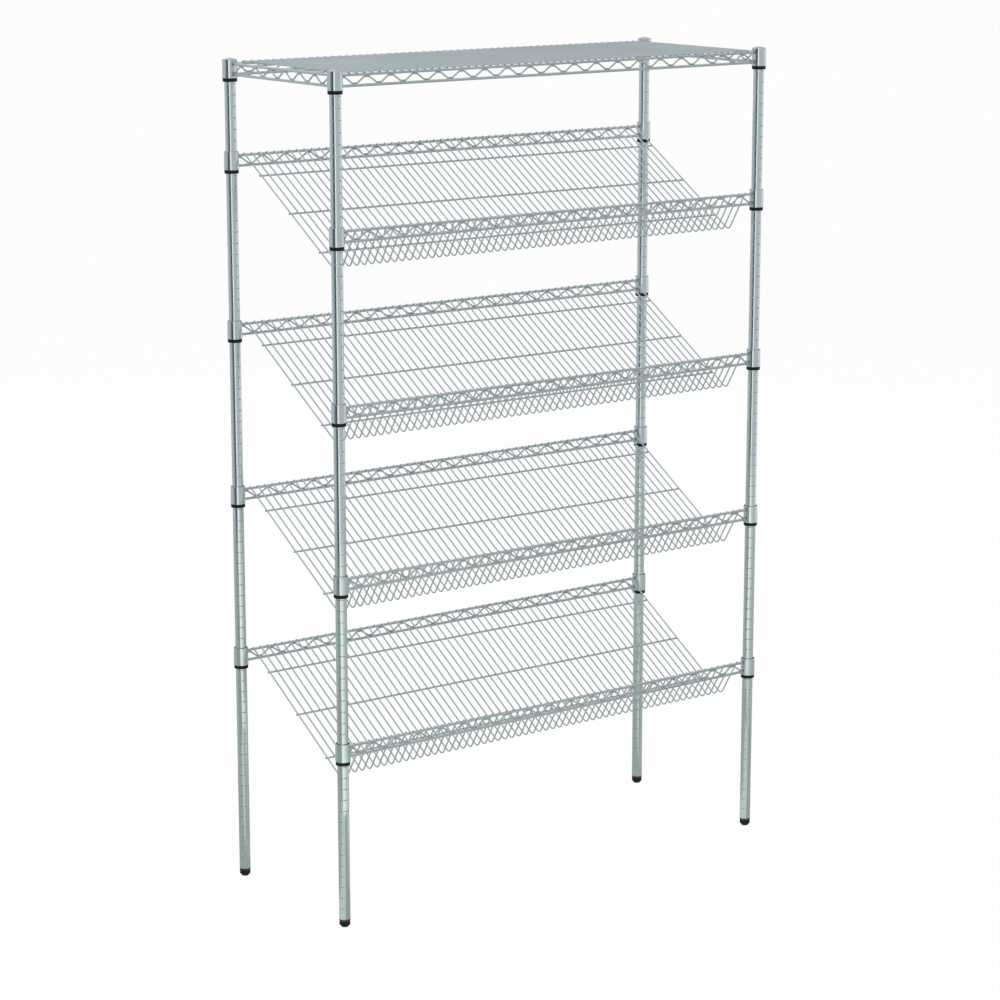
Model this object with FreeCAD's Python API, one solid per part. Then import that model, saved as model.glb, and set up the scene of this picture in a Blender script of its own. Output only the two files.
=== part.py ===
"""Wire bread rack: four grooved posts, one flat top shelf and four slanted shelves with a front lip.

Millimetres, +Z up, +X along the shelves from left to right, +Y to the rear.
The origin is on the floor, midway between the four posts.
Each shelf is a welded assembly of its own. It hangs by four collars on split plastic sleeves, which
clip into the posts' grooves, and it lifts off them straight up.
"""
import FreeCAD, Part
import math
import os

V = FreeCAD.Vector
UP = V(0, 0, 1)
ALONG_X = V(1, 0, 0)
ALONG_Y = V(0, 1, 0)

# ---------------------------------------------------------------- posts
post_spacing_x = 1184.0          # left to right, between the post axes
post_spacing_y = 422.0           # front to rear, between the post axes
post_diameter = 25.4
post_wall = 1.2
post_pitches = 74                # the post's length, counted in groove pitches
groove_pitch = 25.4              # the first groove is one pitch up, the last one pitch down
groove_depth = 0.5
groove_mouth = 1.6
groove_floor = 0.8

# ---------------------------------------------------------------- levelling feet and caps
pad_foot_radius = 8.8            # the narrow round end that stands on the floor
pad_foot_height = 4.4
pad_foot_round = 1.5
pad_radius = 12.3
pad_body_height = 9.3
pad_round = 1.2
stem_diameter = 9.8
stem_chamfer = 1.0
stem_in_pad = 8.0                # how deep the stem is moulded into the pad
foot_travel = 18.0               # how far the foot screws out
stem_left_in_insert = 16.0       # the stem still in the insert with the foot screwed right out
insert_flange = 5.0
insert_plug = 25.0
foot_seat_gap = 0.3              # between the pad and the insert's flange, fully screwed in
screw_clearance = 0.05           # radial, stem in insert
cap_edge = 1.5
cap_dome = 5.0
cap_plug = 15.0
push_fit = 0.1                   # radial, plugs inside the post

# ---------------------------------------------------------------- split sleeves and collars
sleeve_fit = 0.05                # radial, sleeve on post
sleeve_cone_wall = 2.45          # at the foot of the cone
sleeve_taper = 0.4               # how much the cone loses in radius up to the sleeve's top
sleeve_ring_wall = 3.45
sleeve_ring_height = 8.0
sleeve_recess = 4.0              # the sleeve ends this far below the collar's top
sleeve_split = 0.3               # gap between the two halves
bead_rise = 22.0                 # from the sleeve's lower end up to the bead that fills the groove
bead_play = 0.1                  # between the bead and the groove, on every side
collar_wall = 1.5
collar_gap = 0.3                 # between the sleeve's cone and the collar's bore

# ---------------------------------------------------------------- shelf wires
rail_diameter = 6.4
truss_depth = 23.0               # between the axes of the upper and the lower rail
rail_to_collar_foot = 8.0        # lower rail's axis above the collar's lower end
rail_to_collar_top = 10.0        # upper rail's axis below the collar's upper end
truss_wire_diameter = 4.0
truss_wire_half_pitch = 31.0     # at most; it is evened out to fill the truss
truss_wire_flat = 12.0           # run along the rail at each crest, from corner to corner
truss_wire_bend = 5.0            # bend radius on the wire's axis
truss_wire_end_gap = 2.0         # from the collar to the zigzag's end
deck_wire_diameter = 3.4
stringer_diameter = 4.4
weld_bite = 0.3                  # how deep two crossing wires are welded into each other
weld_root = 0.8                  # how deep a rod's end is welded into the wall it meets
wire_overhang = 3.0              # how far a deck wire runs past the rail that carries it

# ---------------------------------------------------------------- flat top shelf
top_wire_pitch = 19.5
top_end_gap = 15.0               # at least this far from the collar to the first deck wire
top_stringer_spacing = 120.0
top_stringers = 3

# ---------------------------------------------------------------- slanted shelves
slant_shelves = 4
slant_pitches = 5                # from the front collars up to the rear ones
top_gap_pitches = 8              # from the highest slanted shelf's rear collars up to the top shelf
lowest_front_pitches = 15        # from the posts' lower end up to the lowest shelf's front collars
deck_slope = 31.5                # degrees below level, towards the front
slant_wire_pitch = 20.0
slant_end_gap = 12.0             # at least this far from the collar to the first deck wire
lip_bend = 11.0                  # bend radius on the wire's axis
stringer_first = 83.0            # from the deck wire's rear end, down the slope
stringer_spacing = 139.5
slant_stringers = 3

# ---------------------------------------------------------------- worked out from the above
post_radius = post_diameter / 2
post_bore = post_radius - post_wall
pad_height = pad_foot_height + pad_body_height
post_bottom = pad_height + foot_seat_gap + insert_flange
post_top = post_bottom + post_pitches * groove_pitch
stem_length = stem_in_pad + foot_seat_gap + foot_travel + stem_left_in_insert
top_groove = post_pitches - 1
slant_step_pitches = (
    top_groove - top_gap_pitches - slant_pitches - lowest_front_pitches
) // (slant_shelves - 1)

collar_height = rail_to_collar_foot + truss_depth + rail_to_collar_top
sleeve_height = sleeve_ring_height + collar_height - sleeve_recess
sleeve_bore = post_radius + sleeve_fit
cone_foot_radius = sleeve_bore + sleeve_cone_wall
cone_slope = sleeve_taper / (sleeve_height - sleeve_ring_height)
collar_bore_foot = cone_foot_radius + collar_gap
collar_radius = collar_bore_foot + collar_wall

rail_radius = rail_diameter / 2
truss_wire_radius = truss_wire_diameter / 2
deck_radius = deck_wire_diameter / 2
stringer_radius = stringer_diameter / 2
deck_on_rail = rail_radius + deck_radius - weld_bite
stringer_under_deck = stringer_radius + deck_radius - weld_bite

post_places = {
    "front_left": V(-post_spacing_x / 2, -post_spacing_y / 2, 0),
    "front_right": V(post_spacing_x / 2, -post_spacing_y / 2, 0),
    "rear_left": V(-post_spacing_x / 2, post_spacing_y / 2, 0),
    "rear_right": V(post_spacing_x / 2, post_spacing_y / 2, 0),
}


def save(node, solids):
    """Write one node: a single solid, or a group of separate solids."""
    shape = solids[0] if len(solids) == 1 else Part.makeCompound(solids)
    shape.exportStep("parts/" + node + ".step")


def moved(solid, offset):
    copy = solid.copy()
    copy.translate(offset)
    return copy


def turned_profile(edges, degrees=360.0):
    """Turn a closed outline in the XZ plane about the Z axis."""
    return Part.Face(Part.Wire(edges)).revolve(V(0, 0, 0), UP, degrees)


def turned(points, degrees=360.0):
    """The same for an outline of straight lines, given as (radius, height) points."""
    outline = Part.makePolygon([V(r, 0, z) for r, z in points] + [V(points[0][0], 0, points[0][1])])
    return turned_profile(outline.Edges, degrees)


def line(start, end):
    return Part.LineSegment(start, end).toShape()


def arc(start, middle, end):
    return Part.Arc(start, middle, end).toShape()


def bent_wire(corners, bend, radius):
    """A round wire along a line of corners, each rounded by the same bend radius."""
    edges = []
    last = corners[0]
    for before, corner, after in zip(corners, corners[1:], corners[2:]):
        arriving = (corner - before).normalize()
        leaving = (after - corner).normalize()
        half_turn = arriving.getAngle(leaving) / 2
        inward = (leaving - arriving).normalize()
        start = corner - arriving * (bend * math.tan(half_turn))
        end = corner + leaving * (bend * math.tan(half_turn))
        middle = corner + inward * (bend / math.cos(half_turn) - bend)
        edges.append(line(last, start))
        edges.append(arc(start, middle, end))
        last = end
    edges.append(line(last, corners[-1]))
    section = Part.Wire(Part.Circle(corners[0], corners[1] - corners[0], radius).toShape())
    return Part.Wire(edges).makePipeShell([section], True, False)


def rod(start, direction, length, diameter):
    return Part.makeCylinder(diameter / 2, length, start, direction)


# ================================================================ posts, caps and feet
def groove_height(number):
    return post_bottom + number * groove_pitch


def post():
    """A steel tube with a shallow rolled groove at every pitch."""
    outline = [(post_bore, post_bottom), (post_radius, post_bottom)]
    for number in range(1, top_groove + 1):
        height = groove_height(number)
        outline.append((post_radius, height - groove_mouth / 2))
        outline.append((post_radius - groove_depth, height - groove_floor / 2))
        outline.append((post_radius - groove_depth, height + groove_floor / 2))
        outline.append((post_radius, height + groove_mouth / 2))
    outline += [(post_radius, post_top), (post_bore, post_top)]
    return turned(outline)


def post_cap():
    """A domed plug, no wider than the post, so that a shelf's collar passes over it."""
    plug_radius = post_bore - push_fit
    plug_end = V(0, 0, post_top - cap_plug)
    plug_edge = V(plug_radius, 0, post_top - cap_plug)
    plug_root = V(plug_radius, 0, post_top)
    seat = V(post_radius, 0, post_top)
    shoulder = V(post_radius, 0, post_top + cap_edge)
    crown = V(0, 0, post_top + cap_dome)
    rise = cap_dome - cap_edge
    dome_radius = (post_radius ** 2 + rise ** 2) / (2 * rise)
    half_angle = math.asin(post_radius / dome_radius) / 2
    on_dome = V(dome_radius * math.sin(half_angle), 0,
                post_top + cap_dome - dome_radius * (1 - math.cos(half_angle)))
    return turned_profile([
        line(plug_end, plug_edge), line(plug_edge, plug_root), line(plug_root, seat),
        line(seat, shoulder), arc(shoulder, on_dome, crown), line(crown, plug_end),
    ])


def foot_insert():
    """The threaded plug in the post's lower end; its flange shows as a ring under the tube."""
    bore = stem_diameter / 2 + screw_clearance
    plug_radius = post_bore - push_fit
    flange_bottom = post_bottom - insert_flange
    plug_top = post_bottom + insert_plug
    return turned([
        (bore, flange_bottom), (post_radius, flange_bottom), (post_radius, post_bottom),
        (plug_radius, post_bottom), (plug_radius, plug_top), (bore, plug_top),
    ])


def foot_stem():
    radius = stem_diameter / 2
    bottom = pad_height - stem_in_pad
    top = bottom + stem_length
    return turned([
        (0, bottom), (radius, bottom), (radius, top - stem_chamfer), (radius - stem_chamfer, top), (0, top),
    ])


def rounded_step(radius, bottom, rounding):
    """The quarter round under a disc's rim, and the point where the rim's straight side begins."""
    centre = V(radius - rounding, 0, bottom + rounding)
    diagonal = rounding * math.sqrt(0.5)
    start = V(radius - rounding, 0, bottom)
    end = V(radius, 0, bottom + rounding)
    return start, arc(start, V(centre.x + diagonal, 0, centre.z - diagonal), end), end


def foot_pad():
    """The moulded pad: a narrow round foot under a body about as wide as the post."""
    socket = stem_diameter / 2 + screw_clearance
    socket_floor = pad_height - stem_in_pad
    foot_start, foot_round, foot_side = rounded_step(pad_foot_radius, 0, pad_foot_round)
    body_start, body_round, body_side = rounded_step(pad_radius, pad_foot_height, pad_round)
    foot_top = V(pad_foot_radius, 0, pad_foot_height)
    rim = V(pad_radius, 0, pad_height)
    mouth = V(socket, 0, pad_height)
    floor_edge = V(socket, 0, socket_floor)
    floor_centre = V(0, 0, socket_floor)
    return turned_profile([
        line(V(0, 0, 0), foot_start), foot_round, line(foot_side, foot_top), line(foot_top, body_start),
        body_round, line(body_side, rim), line(rim, mouth), line(mouth, floor_edge),
        line(floor_edge, floor_centre), line(floor_centre, V(0, 0, 0)),
    ])


# ================================================================ sleeves and collars
def sleeve_foot(groove):
    return groove_height(groove) - bead_rise


def collar_foot(groove):
    return sleeve_foot(groove) + sleeve_ring_height


def sleeve_half():
    """Half a split sleeve, its lower end at height 0; the other half is this one turned round."""
    bead_radius = post_radius - groove_depth + bead_play
    bead_tip_half = groove_floor / 2 - bead_play
    bead_root_half = groove_mouth / 2 - bead_play
    ring_radius = sleeve_bore + sleeve_ring_wall
    half = turned([
        (sleeve_bore, 0), (ring_radius, 0), (ring_radius, sleeve_ring_height),
        (cone_foot_radius, sleeve_ring_height), (cone_foot_radius - sleeve_taper, sleeve_height),
        (sleeve_bore, sleeve_height), (sleeve_bore, bead_rise + bead_root_half),
        (bead_radius, bead_rise + bead_tip_half), (bead_radius, bead_rise - bead_tip_half),
        (sleeve_bore, bead_rise - bead_root_half),
    ], 180.0 - 2 * split_angle())
    half.rotate(V(0, 0, 0), UP, split_angle())
    return half


def split_angle():
    return math.degrees(math.asin(sleeve_split / 2 / sleeve_bore))


def sleeve_pair(corner, groove):
    base = post_places[corner] + V(0, 0, sleeve_foot(groove))
    rear_half = moved(sleeve_half(), base)
    front_half = moved(sleeve_half(), base)
    front_half.rotate(base, UP, 180.0)
    return [rear_half, front_half]


def collar(corner, groove):
    """A tapered steel ring that wedges down over the sleeve and rests on its black lower ring."""
    bore_top = collar_bore_foot - cone_slope * collar_height
    ring = turned([
        (collar_bore_foot, 0), (collar_radius, 0), (bore_top + collar_wall, collar_height),
        (bore_top, collar_height),
    ])
    return moved(ring, post_places[corner] + V(0, 0, collar_foot(groove)))


# ================================================================ trusses
def lower_rail(groove):
    return collar_foot(groove) + rail_to_collar_foot


def upper_rail(groove):
    return lower_rail(groove) + truss_depth


def rail_pair(middle, along, spacing, groove):
    """The two rails of one truss; their ends are welded into the collars' walls."""
    reach = spacing / 2 - collar_radius + weld_root
    start = middle - along * reach
    return [
        rod(V(start.x, start.y, lower_rail(groove)), along, 2 * reach, rail_diameter),
        rod(V(start.x, start.y, upper_rail(groove)), along, 2 * reach, rail_diameter),
    ]


def truss_wire(spacing):
    """The zigzag between two rails, along X about the origin; it lies along a rail at each crest."""
    span = spacing - 2 * collar_radius - 2 * truss_wire_end_gap
    bends = math.ceil(span / truss_wire_half_pitch)
    half_pitch = span / bends
    peak = truss_depth / 2 - rail_radius - truss_wire_radius + weld_bite
    corners = []
    for bend in range(bends + 1):
        height = peak if bend % 2 == 0 else -peak
        crest = bend * half_pitch - span / 2
        start = max(crest - truss_wire_flat / 2, -span / 2)
        end = min(crest + truss_wire_flat / 2, span / 2)
        corners += [V(start, 0, height), V(end, 0, height)]
    return bent_wire(corners, truss_wire_bend, truss_wire_radius)


def long_truss_wire(y, groove):
    return moved(long_zigzag, V(0, y, (lower_rail(groove) + upper_rail(groove)) / 2))


def side_truss_wire(x, groove):
    wire = side_zigzag.copy()
    wire.rotate(V(0, 0, 0), UP, 90.0)
    return moved(wire, V(x, 0, (lower_rail(groove) + upper_rail(groove)) / 2))


def stringer(half_length, y, z):
    return rod(V(-half_length, y, z), ALONG_X, 2 * half_length, stringer_diameter)


def wire_places(pitch, end_gap):
    """Where the deck wires lie along X: evenly about the middle, clear of the collars."""
    room = post_spacing_x - 2 * (collar_radius + end_gap + deck_radius)
    gaps = math.floor(room / pitch)
    return [(number - gaps / 2) * pitch for number in range(gaps + 1)]


def hung_frame(name, front_groove, rear_groove):
    """What every shelf has: four collars on their sleeves, and a pair of rails front and rear."""
    grooves = {
        "front_left": front_groove, "front_right": front_groove,
        "rear_left": rear_groove, "rear_right": rear_groove,
    }
    save(name + "_split_sleeves", [
        half for corner, groove in grooves.items() for half in sleeve_pair(corner, groove)
    ])
    save(name + "_collars", [collar(corner, groove) for corner, groove in grooves.items()])
    front = V(0, -post_spacing_y / 2, 0)
    rear = V(0, post_spacing_y / 2, 0)
    save(name + "_front_rails", rail_pair(front, ALONG_X, post_spacing_x, front_groove))
    save(name + "_rear_rails", rail_pair(rear, ALONG_X, post_spacing_x, rear_groove))
    return [long_truss_wire(front.y, front_groove), long_truss_wire(rear.y, rear_groove)]


# ================================================================ flat top shelf
def top_shelf(name, groove):
    truss_wires = hung_frame(name, groove, groove)
    side_rails = []
    for x in (-post_spacing_x / 2, post_spacing_x / 2):
        side_rails += rail_pair(V(x, 0, 0), ALONG_Y, post_spacing_y, groove)
        truss_wires.append(side_truss_wire(x, groove))
    save(name + "_side_rails", side_rails)
    save(name + "_truss_wires", truss_wires)

    deck_height = upper_rail(groove) + deck_on_rail
    reach = post_spacing_y / 2 + wire_overhang
    save(name + "_deck_wires", [
        rod(V(x, -reach, deck_height), ALONG_Y, 2 * reach, deck_wire_diameter)
        for x in wire_places(top_wire_pitch, top_end_gap)
    ])

    half_length = post_spacing_x / 2 - rail_radius + weld_root
    height = deck_height - stringer_under_deck
    middle = (top_stringers - 1) / 2
    save(name + "_stringers", [
        stringer(half_length, (number - middle) * top_stringer_spacing, height)
        for number in range(top_stringers)
    ])


# ================================================================ slanted shelves
def slanted_profile(front_groove):
    """The deck wire's path in the YZ plane: down the slope, round the bend and up the lip."""
    slope = math.radians(deck_slope)
    down = V(0, -math.cos(slope), -math.sin(slope))
    out = V(0, -math.sin(slope), math.cos(slope))
    rear_rail = V(0, post_spacing_y / 2, upper_rail(front_groove + slant_pitches))
    front_rail = V(0, -post_spacing_y / 2, upper_rail(front_groove))
    rear_end = rear_rail + out * deck_on_rail - down * wire_overhang
    lip_end = front_rail - down * deck_on_rail + out * wire_overhang
    deck_length = (lip_end - rear_end).dot(down)
    corner = rear_end + down * deck_length
    return rear_end, corner, lip_end, down, out


def slanted_shelf(name, front_groove):
    save(name + "_truss_wires", hung_frame(name, front_groove, front_groove + slant_pitches))

    rear_end, corner, lip_end, down, out = slanted_profile(front_groove)
    places = wire_places(slant_wire_pitch, slant_end_gap)
    wire = bent_wire([rear_end, corner, lip_end], lip_bend, deck_radius)
    save(name + "_deck_wires", [moved(wire, ALONG_X * x) for x in places])

    half_length = places[-1] + deck_radius
    stringers = []
    for number in range(slant_stringers):
        place = rear_end + down * (stringer_first + number * stringer_spacing) - out * stringer_under_deck
        stringers.append(stringer(half_length, place.y, place.z))
    save(name + "_stringers", stringers)


# ================================================================ the whole rack
os.makedirs("parts", exist_ok=True)

single_post = post()
for corner, place in post_places.items():
    save("post_" + corner, [moved(single_post, place)])
    save("post_cap_" + corner, [moved(post_cap(), place)])
    save("foot_insert_" + corner, [moved(foot_insert(), place)])
    save("foot_stem_" + corner, [moved(foot_stem(), place)])
    save("foot_pad_" + corner, [moved(foot_pad(), place)])

long_zigzag = truss_wire(post_spacing_x)
side_zigzag = truss_wire(post_spacing_y)

top_shelf("top_shelf", top_groove)
for number in range(slant_shelves):
    front_groove = lowest_front_pitches + (slant_shelves - 1 - number) * slant_step_pitches
    slanted_shelf("slanted_shelf_" + str(number + 1), front_groove)

print("rack height", round(post_top + cap_dome, 1))
print("slanted shelves", slant_shelves, "at a spacing of", round(slant_step_pitches * groove_pitch, 1))
print("width over the collars", round(post_spacing_x + 2 * collar_radius, 1))
print("depth over the collars", round(post_spacing_y + 2 * collar_radius, 1))
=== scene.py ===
# %% [markdown]
# # A wire bread rack
#
# Four grooved posts carry a flat wire shelf on top and four slanted wire shelves below it. Each
# slanted shelf has a raised front lip, so that loaves slide forward and stop. Posts, caps and shelves
# are bright metal, the inserts and screws of the feet are dull zinc, and the sleeves that the shelves
# sit on and the foot pads are black plastic.
#
# The solid model is loaded first and never moved. It fixes every size and place, so the cells below
# read their measures from it and then dress it: every piece is made again where its solid is, inside
# the box of the solids, with rounder forms and finer shading.

# %% Load the solid model
import math
from collections import namedtuple
from functools import partial

import bpy
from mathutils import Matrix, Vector


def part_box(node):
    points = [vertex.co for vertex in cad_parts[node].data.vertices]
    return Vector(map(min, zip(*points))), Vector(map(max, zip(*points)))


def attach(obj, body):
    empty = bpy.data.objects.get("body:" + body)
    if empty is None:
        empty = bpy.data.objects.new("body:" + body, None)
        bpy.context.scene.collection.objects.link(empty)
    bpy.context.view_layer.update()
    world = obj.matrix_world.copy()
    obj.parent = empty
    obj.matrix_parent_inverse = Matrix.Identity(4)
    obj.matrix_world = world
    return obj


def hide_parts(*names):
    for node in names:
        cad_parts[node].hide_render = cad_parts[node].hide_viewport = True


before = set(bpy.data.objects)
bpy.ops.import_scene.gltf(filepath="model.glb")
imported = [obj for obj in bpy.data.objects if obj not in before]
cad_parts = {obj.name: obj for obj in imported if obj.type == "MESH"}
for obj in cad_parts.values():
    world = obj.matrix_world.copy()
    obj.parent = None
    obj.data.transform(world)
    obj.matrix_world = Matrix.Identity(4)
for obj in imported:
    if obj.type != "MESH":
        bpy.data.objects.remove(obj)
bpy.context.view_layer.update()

# %% [markdown]
# ## Measures
#
# A length that the solids show is measured on their boxes. The posts stand upright, so a post's box
# gives its axis and its radius. A rail's box gives its thickness and where the shelf hangs. Only
# what a box can't show, such as how many wires lie in it, is written down here.

# %% Posts and small helpers
MM = 0.001
CORNERS = ("front_left", "front_right", "rear_left", "rear_right")
SHELVES = ("top_shelf", "slanted_shelf_1", "slanted_shelf_2", "slanted_shelf_3", "slanted_shelf_4")
UP = Vector((0, 0, 1))
ALONG_X = Vector((1, 0, 0))
ALONG_Y = Vector((0, 1, 0))


def middle(node):
    low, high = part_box(node)
    return (low + high) / 2


def size(node):
    low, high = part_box(node)
    return high - low


def plain_mesh(name, vertices, edges=(), faces=()):
    mesh = bpy.data.meshes.new(name)
    mesh.from_pydata([tuple(vertex) for vertex in vertices], edges, faces)
    return mesh


def add_object(name, data):
    made = bpy.data.objects.new(name, data)
    bpy.context.scene.collection.objects.link(made)
    return made


post_axis = {corner: middle("post_" + corner) * Vector((1, 1, 0)) for corner in CORNERS}
post_radius = size("post_front_left").x / 2
post_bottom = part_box("post_front_left")[0].z
post_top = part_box("post_front_left")[1].z
half_width = post_axis["front_right"].x
half_depth = post_axis["rear_left"].y
print("posts from", round(post_bottom, 4), "to", round(post_top, 4), "at", half_width, half_depth)

# %% Wires
SLANT_WIRES = 57
TOP_WIRES = 58
STRINGERS = 3
DECK_SLOPE = math.radians(31.5)
LIP_BEND = 11 * MM
TOP_OVERHANG = 3 * MM
SLANT_OVERHANG = 1 * MM
WELD_BITE = 0.3 * MM
LONG_ZIGZAG_BENDS = 37
SIDE_ZIGZAG_BENDS = 13
ZIGZAG_FLAT = 12 * MM
ZIGZAG_BEND = 5 * MM

rail_radius = size("top_shelf_front_rails").y / 2
deck_radius = size("top_shelf_deck_wires").z / 2
stringer_radius = size("top_shelf_stringers").z / 2
zigzag_radius = size("top_shelf_truss_wires").y / 2 - half_depth
for label, radius in (("rail", rail_radius), ("deck wire", deck_radius),
                      ("stringer", stringer_radius), ("zigzag", zigzag_radius)):
    print(label, "thickness", round(2 * radius / MM, 2), "mm")

# %% [markdown]
# ## Finishes
#
# Bright chrome is a mirror with small faults: the plate is slightly thicker here than there, hands
# leave a haze on it, and drawing the wire leaves faint lines along it. A perfect mirror looks like a
# drawing of one, so each fault gets a shader node group with named inputs. The groups only put out
# numbers and colours. The Principled shader stays in each material, where its own values can be read.

# %% Helpers for node trees
def fill(tree, node, values):
    """Set inputs of a node. A value that is a socket is linked; anything else is typed in."""
    for name, value in values.items():
        if isinstance(value, bpy.types.NodeSocket):
            tree.links.new(value, node.inputs[name])
        else:
            node.inputs[name].default_value = value


def add_node(tree, kind, values=None, **settings):
    made = tree.nodes.new(kind)
    for name, value in settings.items():
        setattr(made, name, value)
    fill(tree, made, values or {})
    return made


def new_group(name, kind, inputs, output):
    """A tree, its inputs by name, and its result by name. Each input is (name, type, default)."""
    tree = bpy.data.node_groups.new(name, kind)
    for label, socket_type, default in inputs:
        socket = tree.interface.new_socket(label, in_out="INPUT", socket_type="NodeSocket" + socket_type)
        if default is not None:
            socket.default_value = default
    label, socket_type = output
    tree.interface.new_socket(label, in_out="OUTPUT", socket_type="NodeSocket" + socket_type)
    given = tree.nodes.new("NodeGroupInput").outputs
    return tree, given, tree.nodes.new("NodeGroupOutput").inputs


def arithmetic(tree, operation, first, second=0.0):
    return add_node(tree, "ShaderNodeMath", {0: first, 1: second}, operation=operation).outputs[0]


def sums_for(tree):
    """Any operation of arithmetic by its name, and the four common ones under names of their own."""
    calc = partial(arithmetic, tree)
    return calc, *(partial(calc, name) for name in ("ADD", "SUBTRACT", "MULTIPLY", "DIVIDE"))


def noise(tree, place, scale, detail):
    cloud = add_node(tree, "ShaderNodeTexNoise", {"Vector": place, "Scale": scale, "Detail": detail})
    return cloud.outputs["Fac"]


def mixed(tree, share, first, second, blend="MIX"):
    """A colour that lies this share of the way from the first to the second."""
    return add_node(tree, "ShaderNodeMix", {0: share, 6: first, 7: second},
                    data_type="RGBA", blend_type=blend).outputs[2]


# %% Haze: where hands and cloths have dulled the plate
def haze_group():
    tree, given, result = new_group(
        "haze", "ShaderNodeTree",
        [("Place", "Vector", None), ("Patch size", "Float", 0.05), ("Clean", "Float", 0.06),
         ("Dull", "Float", 0.2)],
        ("Roughness", "Float"))
    patches_per_metre = arithmetic(tree, "DIVIDE", 1.0, given["Patch size"])
    spread = add_node(tree, "ShaderNodeMapRange", {
        "Value": noise(tree, given["Place"], patches_per_metre, 3.0), "From Min": 0.35, "From Max": 0.75,
        "To Min": given["Clean"], "To Max": given["Dull"]})
    tree.links.new(spread.outputs["Result"], result["Roughness"])
    return tree


haze = haze_group()
print("group", haze.name)

# %% Plate tone: a slow drift between two close colours, with rare darker specks
SPECKS_PER_METRE = 700.0


def plate_tone_group():
    tree, given, result = new_group(
        "plate_tone", "ShaderNodeTree",
        [("Place", "Vector", None), ("Drift size", "Float", 0.2), ("Bright", "Color", (0.8, 0.8, 0.8, 1)),
         ("Deep", "Color", (0.7, 0.7, 0.7, 1)), ("Speck", "Color", (0.3, 0.3, 0.3, 1))],
        ("Color", "Color"))
    drifts_per_metre = arithmetic(tree, "DIVIDE", 1.0, given["Drift size"])
    drift = noise(tree, given["Place"], drifts_per_metre, 2.0)
    tone = mixed(tree, drift, given["Deep"], given["Bright"])
    speck_mask = add_node(tree, "ShaderNodeMapRange", {
        "Value": noise(tree, given["Place"], SPECKS_PER_METRE, 1.0),
        "From Min": 0.72, "From Max": 0.8, "To Min": 0.0, "To Max": 0.6})
    speckled = mixed(tree, speck_mask.outputs["Result"], tone, given["Speck"])
    tree.links.new(speckled, result["Color"])
    return tree


plate_tone = plate_tone_group()
print("group", plate_tone.name)

# %% Fine relief: grain of moulded plastic or the faint ripple of rolled tube
def relief_group():
    tree, given, result = new_group(
        "fine_relief", "ShaderNodeTree",
        [("Place", "Vector", None), ("Grain size", "Float", 0.001), ("Stretch", "Vector", (1.0, 1.0, 1.0))],
        ("Height", "Float"))
    stretched = add_node(tree, "ShaderNodeVectorMath", {0: given["Place"], 1: given["Stretch"]},
                         operation="MULTIPLY")
    grains_per_metre = arithmetic(tree, "DIVIDE", 1.0, given["Grain size"])
    tree.links.new(noise(tree, stretched.outputs[0], grains_per_metre, 2.0), result["Height"])
    return tree


fine_relief = relief_group()
print("group", fine_relief.name)

# %% [markdown]
# A finish is one material: the tone group feeds Base Color, the haze group feeds Roughness, and the
# relief group feeds a Bump node. What differs from finish to finish is a handful of values, so one
# function builds them all. The posts' grooves are painted darker than the wall between them, as
# painted shade in the recesses, so the tube's colour also follows an attribute of the mesh.

# %% Build the finishes
def new_material(name):
    material = bpy.data.materials.new(name)
    material.use_nodes = True
    return material, material.node_tree


finishes = {}


def finish(name, bright, deep, speck, clean, dull, grain_size, grain_stretch, relief_depth,
           metallic=1.0, specular=0.5):
    """Make a material and keep it under this name. Blender's own name for it can get a number."""
    finishes[name], tree = new_material(name)
    place = tree.nodes.new("ShaderNodeTexCoord").outputs["Object"]
    tone = add_node(tree, "ShaderNodeGroup", {
        "Place": place, "Bright": (*bright, 1), "Deep": (*deep, 1), "Speck": (*speck, 1)},
        node_tree=plate_tone)
    dulling = add_node(tree, "ShaderNodeGroup", {"Place": place, "Clean": clean, "Dull": dull},
                       node_tree=haze)
    grain = add_node(tree, "ShaderNodeGroup", {
        "Place": place, "Grain size": grain_size, "Stretch": grain_stretch}, node_tree=fine_relief)
    bump = add_node(tree, "ShaderNodeBump", {"Height": grain.outputs["Height"], "Distance": relief_depth})
    fill(tree, tree.nodes["Principled BSDF"], {
        "Base Color": tone.outputs["Color"], "Roughness": dulling.outputs["Roughness"],
        "Normal": bump.outputs["Normal"], "Metallic": metallic, "Specular IOR Level": specular})


def darken_by_attribute(material, attribute_name, darkest):
    """Multiply the material's colour down to darkest where the mesh's attribute is one."""
    tree = material.node_tree
    base_colour = tree.nodes["Principled BSDF"].inputs["Base Color"]
    mask = add_node(tree, "ShaderNodeAttribute", attribute_name=attribute_name).outputs["Fac"]
    bright = base_colour.links[0].from_socket
    tree.links.new(mixed(tree, mask, bright, (darkest, darkest, darkest, 1), "MULTIPLY"), base_colour)


LONG_ALONG_Z = (1.0, 1.0, 0.04)
LONG_ALONG_X = (0.04, 1.0, 1.0)
EVEN = (1.0, 1.0, 1.0)
finish("chromed_tube", (0.82, 0.85, 0.86), (0.73, 0.77, 0.78), (0.34, 0.37, 0.38),
       0.04, 0.13, 4 * MM, LONG_ALONG_Z, 0.04 * MM)
# Painted shade: the posts' rolled grooves are darkened to 0.7 of the tube's colour.
darken_by_attribute(finishes["chromed_tube"], "rolled", 0.7)
finish("chromed_wire", (0.75, 0.775, 0.785), (0.63, 0.66, 0.67), (0.30, 0.32, 0.33),
       0.10, 0.26, 3 * MM, LONG_ALONG_X, 0.04 * MM)
finish("chromed_deck_wire", (0.74, 0.765, 0.775), (0.60, 0.63, 0.64), (0.28, 0.30, 0.31),
       0.12, 0.28, 3 * MM, EVEN, 0.03 * MM)
finish("chromed_collar", (0.82, 0.85, 0.86), (0.72, 0.76, 0.77), (0.32, 0.35, 0.36),
       0.06, 0.16, 5 * MM, EVEN, 0.05 * MM)
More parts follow.
